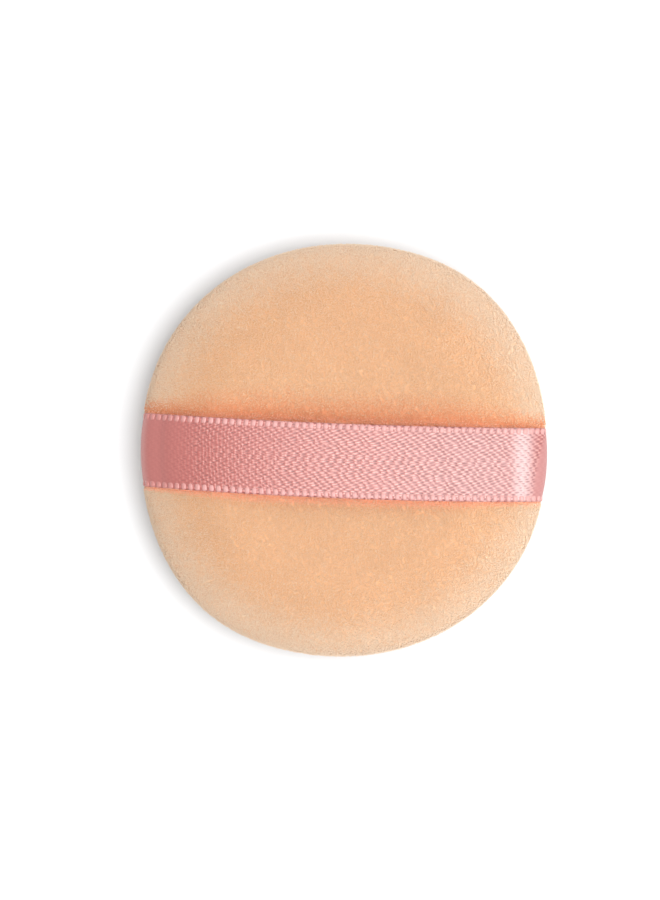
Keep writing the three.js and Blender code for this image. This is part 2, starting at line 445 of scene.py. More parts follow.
def spread_over_disc(curve):
    """Points over the disc whose section is the curve. Heights are over the seam."""
    steps = np.linalg.norm(np.diff(curve, axis=0), axis=1)
    share = np.concatenate([[0], np.cumsum(steps)]) / steps.sum()
    reach = np.linalg.norm(DISC, axis=1)
    radius, height = (np.interp(reach, share, column) for column in curve.T)
    return np.column_stack([unit(DISC) * radius[:, None], height])


print(len(DISC), "points,", len(QUADS), "quads and", len(RIM), "points round the rim")

# %% [markdown]
# ## Cloth that is filled, not carved
#
# A cover is a flat circle of cloth that the foam pushes out from inside. Cloth simulation does the same:
# the skin starts a little low, is held at the seam, and a pressure swells it for twenty frames. The
# solver is tuned for cushions, so the puff is made ten times its size for it. Thin cloth under pressure
# also buckles into short ripples, which real velour is too thick to show, so each point's movement is
# evened out with its neighbours'. How far a point may move is capped, because the seam and the foam
# decide the size and the simulation only finds the form between them.

# %% Swell a skin by cloth simulation
SIM_SCALE = 10
SIM_FRAMES = 20
SWELL_CAP = 0.45 * MM
HELD_SHARE = 0.9  # of the way out, past which the seam holds the cloth
HELD_FULLY_SHARE = 0.95
EVENING_ROUNDS = 8


def evened_out(moved):
    """Each point's movement averaged with its neighbours' movements."""
    field = moved.reshape(GRID_STEPS + 1, GRID_STEPS + 1, 3)
    for _ in range(EVENING_ROUNDS):
        wide = np.pad(field, ((1, 1), (1, 1), (0, 0)), "edge")
        field = (wide[:-2, 1:-1] + wide[2:, 1:-1] + wide[1:-1, :-2] + wide[1:-1, 2:]) / 4
    return field.reshape(-1, 3)


def simulated(points, held):
    """Where the points of a skin are after its cloth was blown up."""
    skin = new_object("skin_to_swell", points * SIM_SCALE, QUADS)
    group = skin.vertex_groups.new(name="held")
    for i in np.flatnonzero(held):
        group.add([int(i)], float(held[i]), "REPLACE")
    cloth = skin.modifiers.new("Swell", "CLOTH")
    settings = cloth.settings
    settings.quality = 6
    settings.mass = 0.3
    settings.tension_stiffness = settings.compression_stiffness = 25
    settings.bending_stiffness = 4
    settings.vertex_group_mass = "held"
    settings.use_pressure = True
    settings.uniform_pressure_force = 4
    settings.effector_weights.gravity = 0
    cloth.collision_settings.use_collision = False
    for number in range(1, SIM_FRAMES + 1):
        bpy.context.scene.frame_set(number)
    seen = skin.evaluated_get(bpy.context.evaluated_depsgraph_get())
    after = np.array([v.co[:] for v in seen.data.vertices]) / SIM_SCALE
    bpy.context.scene.frame_set(1)
    bpy.data.objects.remove(skin)
    return after


def swelled(points):
    reach = np.linalg.norm(DISC, axis=1)
    held = np.clip((reach - HELD_SHARE) / (HELD_FULLY_SHARE - HELD_SHARE), 0, 1)
    moved = evened_out(simulated(points, held) - points) * (1 - held)[:, None]
    distance = np.linalg.norm(moved, axis=1)
    kept = np.minimum(1, SWELL_CAP / np.maximum(distance, LEAST_LENGTH))
    print("swelled by up to", in_mm(distance.max()), "mm, capped at", in_mm(SWELL_CAP))
    return points + moved * kept[:, None]


# %% [markdown]
# ## A cover as one closed shell
#
# Each velour cover is a single piece of cloth: over the crown, round the fold at the seam, and back inside
# as the seam allowance. A Solidify modifier could give the skin its thickness, but it wouldn't turn the
# edge in. So the cover is built as one closed mesh: the swelled skin outside, rings for the turned-in
# edge, and the lining inside, all with the same number of points round the rim so that they join up.
# The allowances part where the ribbon's tails lie between them.

# %% Where the ribbon lies
RIBBON_WIDTH = 10 * MM
RIBBON_THICKNESS = 0.3 * MM
LEFT_OFFSET = 0.1 * MM
RIGHT_OFFSET = -2 * MM
RIBBON_BOW = 0.5 * MM
LIFT_FROM = 3 * SOFT_GAP  # beside a tail's edge, where the cloth starts to make room for it


def ribbon_middle(x):
    """How far the ribbon's middle line lies from the X axis."""
    right_share = (x / PAD_RADIUS + 1) / 2
    sag = RIBBON_BOW * (1 - (x / PAD_RADIUS) ** 2)
    return LEFT_OFFSET + (RIGHT_OFFSET - LEFT_OFFSET) * right_share - sag


def room_for_tails(points):
    """Lifts what would touch a tail in the seam. Heights are over the seam."""
    from_edge = RIBBON_WIDTH / 2 + LIFT_FROM - np.abs(points[:, 1] - ribbon_middle(points[:, 0]))
    under_share = np.clip(from_edge / RIBBON_THICKNESS, 0, 1)
    near_rim = np.hypot(points[:, 0], points[:, 1]) > TURNED_IN_RADIUS - SOFT_GAP
    room = (RIBBON_THICKNESS / 2 + SOFT_GAP) * under_share * near_rim
    return np.column_stack([points[:, :2], np.maximum(points[:, 2], room)])


print("the ribbon's middle sits", in_mm(ribbon_middle(0)), "mm off the axis")

# %% Build the two covers
RING_SHARES = (0.3, 0.65, 1)
LOW_START = 0.27 * MM  # how much lower than its place the crown starts, before it swells


def cover_mesh(crown, flat):
    """Points with heights over the seam, and faces, of which the skin's come first."""
    skin = swelled(spread_over_disc(cloth_curve(crown - LOW_START, flat)))
    skin[:, 2] = np.minimum(skin[:, 2], flat - PILE_TIPS)
    lining = spread_over_disc(lining_curve(crown, flat))
    fold, root = skin[RIM], lining[RIM]
    edge = unit(fold[:, :2]) * TURNED_IN_RADIUS
    rings = [np.column_stack([fold[:, :2] * (1 - s) + edge * s, fold[:, 2]]) for s in RING_SHARES]
    rings += [np.column_stack([edge * s + root[:, :2] * (1 - s), root[:, 2]]) for s in RING_SHARES[::-1]]
    points = room_for_tails(np.vstack([skin, *rings, lining]))
    starts = [len(skin) + k * len(RIM) + np.arange(len(RIM)) for k in range(len(rings))]
    lining_start = len(skin) + len(rings) * len(RIM)
    sides = walls([RIM, *starts, RIM + lining_start])
    return points, np.vstack([QUADS, *sides, QUADS[:, ::-1] + lining_start])


def make_cover(name, side, crown, flat):
    points, faces = cover_mesh(crown, flat)
    points = draw_to_outline(points)
    points[:, 2] = SEAM_HEIGHT + side * points[:, 2]
    cover = new_object(name, points, faces if side > 0 else faces[:, ::-1])
    is_skin = cover.data.attributes.new("is_skin", "FLOAT", "FACE")
    is_skin.data.foreach_set("value", (np.arange(len(faces)) < len(QUADS)).astype(float))
    smooth = cover.modifiers.new("Smooth", "SUBSURF")
    smooth.levels = smooth.render_levels = 1
    print(name, "has", len(faces), "quads before it is smoothed")
    return cover


back_velour = make_cover("back_velour", 1, BACK_CROWN, BACK_CROWN)
front_velour = make_cover("front_velour", -1, FRONT_CROWN, SEAM_HEIGHT)

# %% [markdown]
# ## Painted sheen, shadow and light on the velour
#
# The velour is one colour, but it doesn't look it, and part of that is painted. Round the rim, where one sees
# more of the fibres' sides, the pile is painted paler: a painted sheen. Beside the ribbon it is painted
# deeper and more orange, most of all on the side where Y is higher: the ribbon's painted shadow, coloured as
# light bounced from fibre to fibre would colour it. Right along its edge the pile is painted brighter:
# painted light, as if light came through the thin satin. A fine mottle breaks up the paler part.
#
# All this could be painted on an image, but sums on a point's place need no image and follow the sizes
# above. Three numbers say how pale, deep and lit the pile looks at any place, and the same nodes work
# them out for the cloth and for the fibres.

# %% How pale, deep and lit the velour looks
PILE_WARM = (0.75, 0.445, 0.246)
# Painted sheen: the pile is painted paler towards the rim, as fibres seen from the side would look.
PILE_PAINTED_SHEEN = (0.75, 0.535, 0.365)
# Painted shadow of the ribbon on the pile, deep orange as light bounced between fibres would make it.
PILE_PAINTED_SHADOW = (0.72, 0.24, 0.105)
# Painted light along the ribbon's edge and under it, as if light came through the satin.
PILE_PAINTED_LIGHT = (1.0, 0.45, 0.27)
RIM_START = 0.72  # of the way out, where the pile starts to look paler
DEEP_REACH = 5.3 * MM  # from the ribbon's edge, on the side where Y is higher
DEEP_SHIFT = 1.3 * MM  # half of how much less it reaches on the other side
DEEP_POWER = 1.5  # the deep tint fades faster than evenly
LIT_REACH = 1.3 * MM  # from the ribbon's edge, on the side where Y is lower
LIT_SHIFT = -0.12 * MM  # the same, but below zero because the sides are swapped
LIT_POWER = 1
ENDS_FROM = 0.4  # of the way out, where both reaches start to shrink
END_SHARE = 0.45  # how much of them is left at the ribbon's ends
MOTTLE_SIZE = 0.8 * MM
MOTTLE_AMOUNT = 0.9


# The shares of painted sheen round the rim, of the ribbon's painted shadow and of painted light along its
# edge.
def tint_shares(place, pad_radius, rim_start, deep_reach, lit_reach):
    x, y, z = split(place)
    mottle = (noise(place, MOTTLE_SIZE) - 0.5) * MOTTLE_AMOUNT
    pale = larger(eased(away_from_axis(place) / pad_radius, rim_start, 1.0, 0.0, 1.0) + mottle, 0.0)
    along = x / pad_radius
    slant = (RIGHT_OFFSET - LEFT_OFFSET) / 2
    middle = along * along * RIBBON_BOW + along * slant + (LEFT_OFFSET + slant - RIBBON_BOW)
    off_middle = y - middle
    towards_end = eased(abs(along), ENDS_FROM, 1.0, 1.0, END_SHARE)
    on_back = maths("GREATER_THAN", z, SEAM_HEIGHT)
    shares = [pale]
    for shift, reach, power in ((DEEP_SHIFT, deep_reach, DEEP_POWER), (LIT_SHIFT, lit_reach, LIT_POWER)):
        beside = abs(off_middle - shift) - (RIBBON_WIDTH / 2 - abs(shift))
        left = smaller(larger(1.0 - beside / (towards_end * reach), 0.0), 1.0)
        shares.append(left**power * on_back)
    return shares


print("pale from", in_mm(RIM_START * PAD_RADIUS), "mm out, deep within", in_mm(DEEP_REACH), "mm")

# %% [markdown]
# ## The body of the pile
#
# Dense pile is a solid mass up to just under its tips, so the cover's own surface stands for that mass and
# only the tips are modelled as fibres. Its colour mixes the four tints, three of them painted sheen, painted
# shadow and painted light, with a fine noise at the scale of the tufts and a slow one for the uneven
# brushing of the nap.

# %% The velour's material
PILE_SHEEN = {"Sheen_Weight": 0.2, "Sheen_Roughness": 0.5}
TUFT_SIZE = 0.4 * MM
NAP_SIZE = 7 * MM
TUFT_CONTRAST = 0.3
NAP_CONTRAST = 0.1


def velour_material():
    material, tree, shader = new_material("velour", PILE_WARM, roughness=0.95, **PILE_SHEEN)
    place = object_place(tree)
    # pale, deep and lit are the shares of painted sheen, painted shadow and painted light.
    pale, deep, lit = tint_shares(place, PAD_RADIUS, RIM_START, DEEP_REACH, LIT_REACH)
    tint = mixed(lit, mixed(deep, mixed(pale, PILE_WARM, PILE_PAINTED_SHEEN), PILE_PAINTED_SHADOW), PILE_PAINTED_LIGHT)
    tufts = noise(place, TUFT_SIZE, detail=2.0)
    shade = (tufts - 0.5) * TUFT_CONTRAST + (noise(place, NAP_SIZE) - 0.5) * NAP_CONTRAST + 1.0
    add_pattern(shader, scaled(tint, shade), tufts, strength=0.4, depth=0.06 * MM)
    return material


velour = velour_material()
for cover in (back_velour, front_velour):
    cover.data.materials.append(velour)
print("velour: tufts of", in_mm(TUFT_SIZE), "mm")

# %% [markdown]
# ## The ribbon's path
#
# The ribbon starts inside the seam, turns up round the back cover's fold, bends over the shoulder and
# arches across the pad, high enough for a fingertip. The bend is soft at the left and sharp at the
# right. A simulated strip would settle as it likes, so this side view is drawn, as smooth curves that a
# few named points pull into shape. Its points are then spaced evenly, so that the weave keeps its scale
# along the whole ribbon.

# %% Side view of the ribbon
TAIL_SETBACK = 0.5 * MM
FINGER_GAP = 1.8 * MM
LEFT_BEND = (3.2 * MM, 3.9 * MM)  # inset from the rim, rise over the seam
RIGHT_BEND = (2.1 * MM, 3.5 * MM)
BEND_SLOPE = math.radians(37)
RISING_SHARE = 0.7
TUCKING_SHARE = 0.4
LEAVING_SHARE = 1.1
ARCHING_SHARE = 0.5
RIBBON_STEPS = 360


def smooth_curve(*handles, steps=60):
    """Points along a curve that its handles pull into shape, by repeatedly walking between them."""
    t = np.linspace(0, 1, steps)[:, None]
    level = [np.array(h, float) for h in handles]
    while len(level) > 1:
        level = [a * (1 - t) + b * t for a, b in zip(level, level[1:])]
    return level[0]


def ribbon_half(bend_inset, bend_rise):
    """(x, z) from the tail in the seam to the middle of the arch."""
    outer = PAD_RADIUS - RIBBON_THICKNESS / 2
    tail = (TURNED_IN_RADIUS + TAIL_SETBACK, SEAM_HEIGHT)
    fold_start, fold_corner = (outer - LIP_RADIUS, SEAM_HEIGHT), (outer, SEAM_HEIGHT)
    fold_end = (outer, SEAM_HEIGHT + LIP_RADIUS)
    bend = np.array([PAD_RADIUS - bend_inset, SEAM_HEIGHT + bend_rise])
    middle = (0, SEAM_HEIGHT + BACK_CROWN + FINGER_GAP + RIBBON_THICKNESS / 2)
    climb = np.array([-math.cos(BEND_SLOPE), math.sin(BEND_SLOPE)])
    rising = (outer, fold_end[1] + (bend[1] - fold_end[1]) * RISING_SHARE)
    tucking = bend - climb * bend_inset * TUCKING_SHARE
    leaving = bend + climb * bend_inset * LEAVING_SHARE
    arching = (bend[0] * ARCHING_SHARE, middle[1])
    runs = [
        smooth_curve(tail, fold_start),
        smooth_curve(fold_start, fold_corner, fold_end),
        smooth_curve(fold_end, rising, tucking, bend),
        smooth_curve(bend, leaving, arching, middle),
    ]
    return np.vstack([runs[0], *(run[1:] for run in runs[1:])])


def evenly_spaced(points, count):
    steps = np.linalg.norm(np.diff(points, axis=0), axis=1)
    travelled = np.concatenate([[0], np.cumsum(steps)])
    at = np.linspace(0, travelled[-1], count)
    return np.column_stack([np.interp(at, travelled, column) for column in points.T]), travelled[-1]


left_half, right_half = ribbon_half(*LEFT_BEND) * (-1, 1), ribbon_half(*RIGHT_BEND)
ribbon_line, RIBBON_LENGTH = evenly_spaced(np.vstack([left_half, right_half[::-1][1:]]), RIBBON_STEPS + 1)
print("the ribbon is", in_mm(RIBBON_LENGTH), "mm long from tail to tail")

# %% [markdown]
# ## The foam inside
#
# Nothing shows of the foam, but a puff is what it is because of it, and whoever cuts this model open should
# find it. It is a disc with the covers' own curves, a little smaller, and a groove round its rim where the
# seam's turned-in edges press into it. The same bent grid makes both of its faces, and rings line the
# groove. Open-cell foam is a mass of tiny bubbles, which a cell texture draws and sinks, and whose hollows
# it paints darker as painted shade.

# %% The foam core
FOAM_RADIUS = INNER_RADIUS - SOFT_GAP
GROOVE_RADIUS = TURNED_IN_RADIUS - SOFT_GAP
THREAD_RADIUS = 0.125 * MM
THREAD_GAP = 0.1 * MM
THREAD_HEIGHT = ALLOWANCE_TOP + THREAD_GAP + THREAD_RADIUS
GROOVE_HEIGHT = THREAD_HEIGHT + THREAD_RADIUS + SOFT_GAP
CORE_GAP = COVER_THICKNESS + SOFT_GAP
FOAM_CREAM = (0.95, 0.9, 0.78)
# Painted shade in the hollows of the foam's cells.
FOAM_HOLLOW_SHADE = (0.72, 0.64, 0.48)
FOAM_CELL = 0.45 * MM
CELL_WALL = 0.35  # how deep into a cell its wall's colour reaches


def foam_face(crown, flat):
    """A face of the foam, from the axis out to the groove's edge. Heights are over the seam."""
    curve = crown_curve(FOAM_RADIUS, ALLOWANCE_TOP, crown - CORE_GAP, flat - CORE_GAP)
    edge_radius = np.interp(-GROOVE_HEIGHT, -curve[:, 1], curve[:, 0])
    kept = curve[curve[:, 1] > GROOVE_HEIGHT]
    return spread_over_disc(np.vstack([kept, [edge_radius, GROOVE_HEIGHT]]))


def make_foam():
    top, bottom = foam_face(BACK_CROWN, BACK_CROWN), foam_face(FRONT_CROWN, SEAM_HEIGHT) * (1, 1, -1)
    groove = unit(DISC[RIM]) * GROOVE_RADIUS
    corners = [np.column_stack([groove, np.full(len(RIM), h)]) for h in (GROOVE_HEIGHT, -GROOVE_HEIGHT)]
    points = draw_to_outline(np.vstack([top, *corners, bottom]))
    points[:, 2] += SEAM_HEIGHT
    ring, bottom_start = np.arange(len(RIM)), len(top) + 2 * len(RIM)
    sides = walls([RIM, len(top) + ring, len(top) + len(RIM) + ring, bottom_start + RIM])
    return new_object("foam_disc", points, np.vstack([QUADS, *sides, QUADS[:, ::-1] + bottom_start]))


def foam_material():
    material, tree, shader = new_material("open-cell foam", FOAM_CREAM, roughness=0.9)
    to_wall = {"feature": "DISTANCE_TO_EDGE"}
    inputs = {"Vector": object_place(tree), "Scale": 1 / FOAM_CELL}
    depth = signal(tree, "ShaderNodeTexVoronoi", to_wall, "Distance", **inputs)
    # The hollows are painted darker as shade.
    colour = mixed(depth / CELL_WALL, FOAM_CREAM, FOAM_HOLLOW_SHADE)
    add_pattern(shader, colour, 1.0 - depth, strength=0.6, depth=0.15 * MM)
    return material


foam_disc = make_foam()
foam_disc.data.materials.append(foam_material())
print("foam disc of", len(foam_disc.data.polygons), "faces")

# %% [markdown]
# ## Thread
#
# Sewing thread is three yarns twisted together. The machine's seam has two threads, which hook round each
# other halfway down every hole, and a hand-sewn ladder closes the gap the covers were turned through. Each
# thread's route is worked out hole by hole. A plain round bevel along it would look like wire, so a
# Geometry Nodes tree walks along the route, winds three yarns round it and gives them their thickness.
# Any route becomes thread that way.

# %% Routes from hole to hole
STITCH_COUNT = 46
CLOSING_COUNT = 7
MACHINE_COUNT = STITCH_COUNT - CLOSING_COUNT
STITCH_RADIUS = INNER_RADIUS - 1 * MM
STITCH_TURN = 2 * math.pi / STITCH_COUNT
CLOSING_MIDDLE = math.radians(87.5)  # the middle of the gap closed by hand
SEAM_START = CLOSING_MIDDLE + (CLOSING_COUNT + 1) / 2 * STITCH_TURN
HOOK_REACH = 0.2 * MM
HOOK_SPREAD = 0.23 * MM
TAIL_SHARE = 0.3  # of a stitch, left at each end of a thread
THREAD_TAIL = STITCH_TURN * STITCH_RADIUS * TAIL_SHARE
THREAD_BEND = 0.11 * MM
MOST_OF_HALF = 0.45  # how much of a short step its two bends may take


def beside_hole(hole, along, across, height):
    turn = SEAM_START + hole * STITCH_TURN + along / STITCH_RADIUS
    radius = STITCH_RADIUS + across
    return radius * math.cos(turn), radius * math.sin(turn), SEAM_HEIGHT + height


def machine_route(side):
    lying, outer = side * THREAD_HEIGHT, side * HOOK_SPREAD
    route = [beside_hole(0, -HOOK_REACH - THREAD_TAIL, outer, lying)]
    for hole in range(MACHINE_COUNT):
        route += [beside_hole(hole, -HOOK_REACH, outer, height) for height in (lying, 0)]
        route.append(beside_hole(hole, 0, 0, -side * HOOK_SPREAD))
        route += [beside_hole(hole, HOOK_REACH, -outer, height) for height in (0, lying)]
    return [*route, beside_hole(MACHINE_COUNT - 1, HOOK_REACH + THREAD_TAIL, -outer, lying)]


def ladder_route():
    height = THREAD_HEIGHT
    route = [beside_hole(MACHINE_COUNT, -THREAD_TAIL, 0, height)]
    for hole in range(MACHINE_COUNT, STITCH_COUNT):
        route += [beside_hole(hole, 0, 0, height), beside_hole(hole, 0, 0, -height)]
        height = -height
    return [*route, beside_hole(STITCH_COUNT - 1, THREAD_TAIL, 0, height)]


def rounded(route):
    """The route with every corner replaced by a small curve."""
    route = draw_to_outline(route)
    smooth = [route[:1]]
    for before, corner, after in zip(route, route[1:], route[2:]):
        ends = []
        for step in (before - corner, after - corner):
            length = np.linalg.norm(step)
            ends.append(corner + step / length * min(THREAD_BEND, length * MOST_OF_HALF))
        smooth.append(smooth_curve(ends[0], corner, ends[1], steps=5))
    return np.vstack([*smooth, route[-1:]])


print(MACHINE_COUNT, "machine stitches and", CLOSING_COUNT, "by hand")
print("one stitch is", in_mm(STITCH_TURN * STITCH_RADIUS), "mm long")

# %% Geometry Nodes for thread
YARNS = 3
YARN_FIT = 1 + 2 / math.sqrt(3)  # a circle round three that touch is this much wider than one of them


def thread_tree():
    sizes = ("Spacing", "Thread_radius", "Twist_length")
    tree, given = new_tree("Three yarns round a route", sizes, Sides="Int", Material="Material")
    line = signal(tree, "GeometryNodeMeshToCurve", Mesh=given["Geometry"])
    even = signal(tree, "GeometryNodeResampleCurve", {"mode": "LENGTH"}, Curve=line, Length=given["Spacing"])
    yarn_radius = given["Thread radius"] / YARN_FIT
    ring_radius = given["Thread radius"] - yarn_radius
    side = signal(tree, "GeometryNodeInputNormal")
    up = vectors("CROSS_PRODUCT", signal(tree, "GeometryNodeInputTangent"), side)
    turns = signal(tree, "GeometryNodeSplineParameter", out="Length") / given["Twist length"]
    round_shape = {"Resolution": given["Sides"], "Radius": yarn_radius}
    round_yarn = signal(tree, "GeometryNodeCurvePrimitiveCircle", **round_shape)
    yarns = add_node(tree, "GeometryNodeJoinGeometry")
    for k in range(YARNS):
        turn = (turns + k / YARNS) * (2 * math.pi)
        off_line = vectors("ADD", scaled(side, maths("COSINE", turn)), scaled(up, maths("SINE", turn)))
        wound = signal(tree, "GeometryNodeSetPosition", Geometry=even, Offset=scaled(off_line, ring_radius))
        yarn = signal(tree, "GeometryNodeCurveToMesh", Curve=wound, Profile_Curve=round_yarn, Fill_Caps=True)
        set_input(tree, yarns.inputs[0], yarn)
    return end_tree(Signal(tree, yarns.outputs[0]), given["Material"])


THREAD_TREE = thread_tree()
print("thread tree of", len(THREAD_TREE.nodes), "nodes")

# %% The three threads
THREAD_CREAM = (0.86, 0.62, 0.45)
THREAD_SHADED = (0.74, 0.48, 0.33)
THREAD_PALE = (0.95, 0.74, 0.57)
YARN_FUZZ = 0.08 * MM
YARN_SPACING = 0.14 * MM
YARN_SIDES = 6
TWIST_LENGTH = 1.1 * MM


def thread_material():
    material, tree, shader = new_material("sewing thread", THREAD_CREAM, roughness=0.7, Sheen_Weight=0.3)
    fuzz = noise(object_place(tree), YARN_FUZZ, detail=2.0)
    set_input(tree, shader.inputs["Base Color"], mixed(fuzz, THREAD_SHADED, THREAD_PALE))
    return material


def make_thread(name, route):
    points = rounded(route)
    line = new_object("route", points, edges=[(k, k + 1) for k in range(len(points) - 1)])
    sizes = {"Spacing": YARN_SPACING, "Thread_radius": THREAD_RADIUS, "Twist_length": TWIST_LENGTH}
    thread = grown(line, name, THREAD_TREE, Sides=YARN_SIDES, Material=thread_dye, **sizes)
    bpy.data.objects.remove(line)
    return thread


thread_dye = thread_material()
upper_thread = make_thread("upper_thread", machine_route(1))
lower_thread = make_thread("lower_thread", machine_route(-1))
ladder_thread = make_thread("ladder_thread", ladder_route())

# %% [markdown]
# ## The ribbon as a strip of cloth
#
# The strip is a grid: its rows follow the side view, and its columns run from edge to edge. It gets two
# faces and rounded edges, a third of a millimetre apart. Every point then goes where the cloth really
# lies: a little slanted, bowed sideways, and with its ends bent round the curve of the rim. The flat
# strip's own length and width become the UV map, so the weave follows the cloth round every bend.

# %% Lay the strip across the pad
RIBBON_COLUMNS = 36
CROSS_CROWN = 0.12 * MM  # the middle stands this much over the edges
EDGE_THICKNESS_SHARE = 0.45
EDGE_ROUNDNESS = 8  # the higher the power, the nearer to the edge it starts to thin


def lay_across_pad(points):
    points = np.array(points, float)
    points[:, 1] += ribbon_middle(points[:, 0])
    points[:, 0] *= np.sqrt(1 - (points[:, 1] / PAD_RADIUS) ** 2)
    return draw_to_outline(points)


def out_of_ribbon():
    """Each row's direction out of the ribbon's face, in the side view."""
    along = unit(np.gradient(ribbon_line, axis=0))
    return np.column_stack([-along[:, 1], along[:, 0]])


def on_ribbon(row, across, height):
    """Points by row, which may be a fraction, by distance from the middle line and by height over it."""
    rows = np.arange(len(ribbon_line))
    columns = zip(ribbon_line.T, out_of_ribbon().T)
    x, z = (np.interp(row, rows, line) + height * np.interp(row, rows, out) for line, out in columns)
    return lay_across_pad(np.column_stack([x, across, z]))


strip_numbers = np.arange((RIBBON_STEPS + 1) * (RIBBON_COLUMNS + 1)).reshape(RIBBON_STEPS + 1, -1)
strip_row = np.repeat(np.arange(RIBBON_STEPS + 1.0), RIBBON_COLUMNS + 1)
strip_column = np.tile(np.linspace(-1, 1, RIBBON_COLUMNS + 1), RIBBON_STEPS + 1)
thinning = (1 - EDGE_THICKNESS_SHARE) * (1 - strip_column**EDGE_ROUNDNESS)
half_thickness = RIBBON_THICKNESS / 2 * (EDGE_THICKNESS_SHARE + thinning)
arch_across = -CROSS_CROWN * strip_column**2
upper, lower = (
    on_ribbon(strip_row, strip_column * RIBBON_WIDTH / 2, arch_across + side * half_thickness)
    for side in (1, -1)
)
print("ribbon grid of", len(upper), "points a side")

# %% Join its two faces and edges
MAP_MIDDLE = 0.5  # of the map's height, with the ribbon's face below it and its back above
FACE_MAP_SHARE = 0.48  # of the map's height, which leaves a narrow strip for each edge

border = np.concatenate(
    [strip_numbers[:, 0], strip_numbers[-1, 1:], strip_numbers[-2::-1, -1], strip_numbers[0, -2:0:-1]]
)
face_quads = quads_of(strip_numbers)
edge_quads = walls([border, border + len(upper)])
strip_faces = np.vstack([face_quads, face_quads[:, ::-1] + len(upper), *edge_quads])
ribbon = new_object("ribbon", np.vstack([upper, lower]), strip_faces)
edge_map_share = MAP_MIDDLE - FACE_MAP_SHARE
up_the_face = (strip_column + 1) / 2 * FACE_MAP_SHARE
strip_u = np.tile(strip_row / RIBBON_STEPS, 2)
strip_v = np.concatenate([edge_map_share + up_the_face, 1 - up_the_face])
corner_points = np.array([corner.vertex_index for corner in ribbon.data.loops])
corner_map = np.column_stack([strip_u, strip_v])[corner_points]
on_edge = np.arange(len(corner_map)) >= 2 * face_quads.size
corner_map[on_edge & (corner_map[:, 1] == 1), 1] = 0
ribbon.data.uv_layers.new(name="OFBake").data.foreach_set("uv", corner_map.ravel())
print("ribbon of", len(ribbon.data.polygons), "faces")

# %% [markdown]
# ## Satin
#
# Satin shines because its yarns float over several others before they dip under one. The floats run along
# the ribbon and each row is shifted against the next. An image of cloth could be laid on, but it would
# show where it repeats, so a few sums on the UV map give every float its own little cell. A short dash in
# the cell is the gap where the yarn dips, painted dark as shade, and a second dash half a float further on
# is its crest, painted lighter as a highlight. The crossing yarns show through as fine ribs, painted
# darker as shade where the light is low.
#
# A highlight is painted across the ribbon where it starts to bend down, and shade is painted where it
# folds down towards the seam. The dull back of the weave looks down at the pad.
#
# Such parallel yarns stretch the highlight across the ribbon, and that is what the shader's anisotropy is
# for. Most of satin's brightness is reflected light, so its hue is set by tinting the reflection, which
# goes from pink at the left to cooler at the right, and is darker in the gaps.

# %% Colours and sizes of the weave
SATIN_PINK = (0.34, 0.03, 0.022)
# Painted highlight on the crests of the floats.
SATIN_CREST_HIGHLIGHT = (0.60, 0.27, 0.225)
# Painted shade in the gaps where the yarns dip, and in the ribs.
SATIN_GAP_SHADE = (0.15, 0.02, 0.016)
# Painted highlight across the ribbon where it starts to bend down.
SATIN_CREASE_HIGHLIGHT = (0.52, 0.30, 0.30)
# Painted shade where the ribbon folds down towards the seam, at both ends.
SATIN_FOLD_SHADE = (0.36, 0.08, 0.07)
SATIN_BACK = (0.80, 0.36, 0.30)
SHEEN_LEFT = (0.96, 0.77, 0.73)
SHEEN_MIDDLE = (0.94, 0.885, 0.865)
SHEEN_RIGHT = (0.73, 0.86, 0.865)
SHEEN_IN_GAPS = (0.46, 0.37, 0.35)
SHEEN_TURNS = 18 * MM  # to either side of the middle
GAP_SHADE_LEFT = 0.1  # how much of the sheen the gaps lose
GAP_SHADE_RIGHT = 0.65
FLOAT_LENGTH = 1.1 * MM
FLOAT_WIDTH = 0.3 * MM
ROW_SHIFT_SHARE = 1 / 3
ROW_CHANCE_SHARE = 0.35
WAVINESS = 1.2  # in rows
ALONG_WAVINESS = 1.0  # in floats
WAVE_SIZE = 1.3 * MM
GAP_LENGTH_SHARE = 0.42
GAP_WIDTH_SHARE = 0.54
GAP_TILT = 1.2  # in rows, from one end of a gap to the other
GAP_CORE = 0.1  # of the way out from a gap's middle, where it starts to fade
UNEVENNESS = 0.4  # how much weaker the most tilted dashes are
CREST_SHIFT_SHARE = 0.5  # of a float, from the gaps to the floats' crests
RIB_PITCH = 0.49 * MM
# How dark the ribs are painted as shade, at the left where the light is low and at the right.
RIB_DEPTH_LEFT = 0.5
RIB_DEPTH_RIGHT = 0.12
RIBS_FADE = -22.32 * MM  # along X, where the ribs start to fade towards the middle
print("satin floats of", in_mm(FLOAT_LENGTH), "by", in_mm(FLOAT_WIDTH), "mm")


# %% The pattern of the weave
def drawn_for(cell, dimensions, socket):
    """A number drawn by lot for each numbered cell."""
    settings = {"noise_dimensions": dimensions}
    return signal(cell.tree, "ShaderNodeTexWhiteNoise", settings, "Value", **{socket: cell})


def place_in_float(flat_place, place, phase):
    """How far along and across its own cell of the weave a point lies, and a number drawn for that cell."""
    u, v, _ = split(flat_place)
    wobble = noise(place, WAVE_SIZE, detail=2.0)
    row = v * (RIBBON_WIDTH / FACE_MAP_SHARE / FLOAT_WIDTH) + (wobble - 0.5) * WAVINESS
    row_number = maths("FLOOR", row)
    row_start = drawn_for(row_number, "1D", "W") * ROW_CHANCE_SHARE + phase
    shift = row_number * ROW_SHIFT_SHARE + row_start + wobble * ALONG_WAVINESS
    along = u * (RIBBON_LENGTH / FLOAT_LENGTH) + shift
    cell = signal(u.tree, "ShaderNodeCombineXYZ", X=row_number, Y=maths("FLOOR", along))
    return maths("FRACT", along) - 0.5, maths("FRACT", row) - 0.5, drawn_for(cell, "2D", "Vector")


